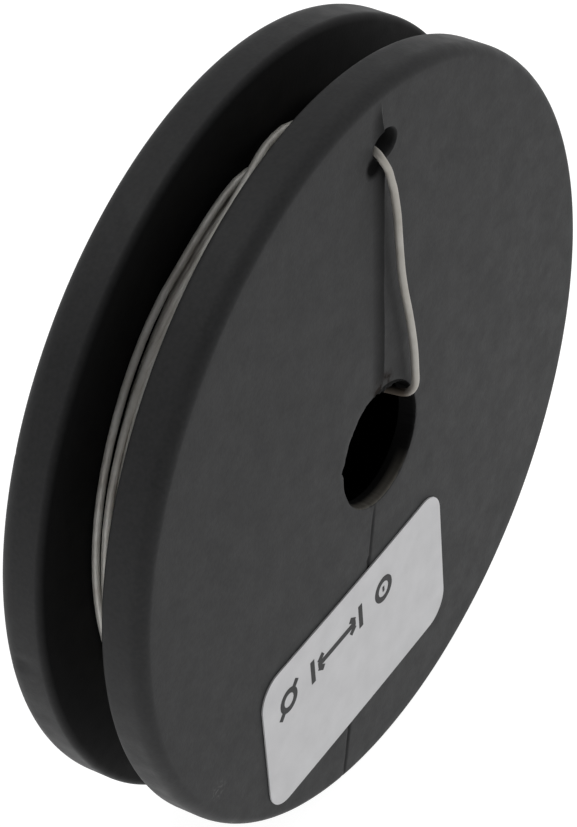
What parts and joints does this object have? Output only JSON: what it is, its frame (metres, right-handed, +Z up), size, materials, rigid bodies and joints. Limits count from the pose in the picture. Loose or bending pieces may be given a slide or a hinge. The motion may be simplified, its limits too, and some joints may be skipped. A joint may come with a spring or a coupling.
{
  "type": "solder wire spool",
  "caption": "Small flanged plastic reel of fine solder wire, with the wire's end led out through the front flange, down its face and hooked into the bore, and a paper label on the face.",
  "frame": {"origin": "centre of the reel, on its axis and midway between the outer faces", "axes": "+Y along the reel's axis, from the labelled front face to the rear face; +Z up as the reel stands on its rims, towards the wire hole; +X to the right when the labelled face is looked at"},
  "size_m": [0.05, 0.0116, 0.05],
  "materials": {
    "charcoal_plastic": "moulded, satin, with faint grain and witness lines",
    "solder": "drawn wire, soft grey sheen, slightly dulled",
    "label_paper": "coated paper, pale grey"
  },
  "bodies": {
    "reel": {"front_half_reel": "charcoal_plastic", "rear_half_reel": "charcoal_plastic", "wire_winding": "solder", "wire_lead_out": "solder", "label": "label_paper"},
    "wire_end": {"wire_tail": "solder"}
  },
  "joints": [
    {"name": "wire_end_bend", "type": "hinge", "parent": "reel", "child": "wire_end", "pos_m": [0, -0.0057, 0.02085], "axis": [-1, 0, 0], "range_deg": [0, 90]}
  ]
}
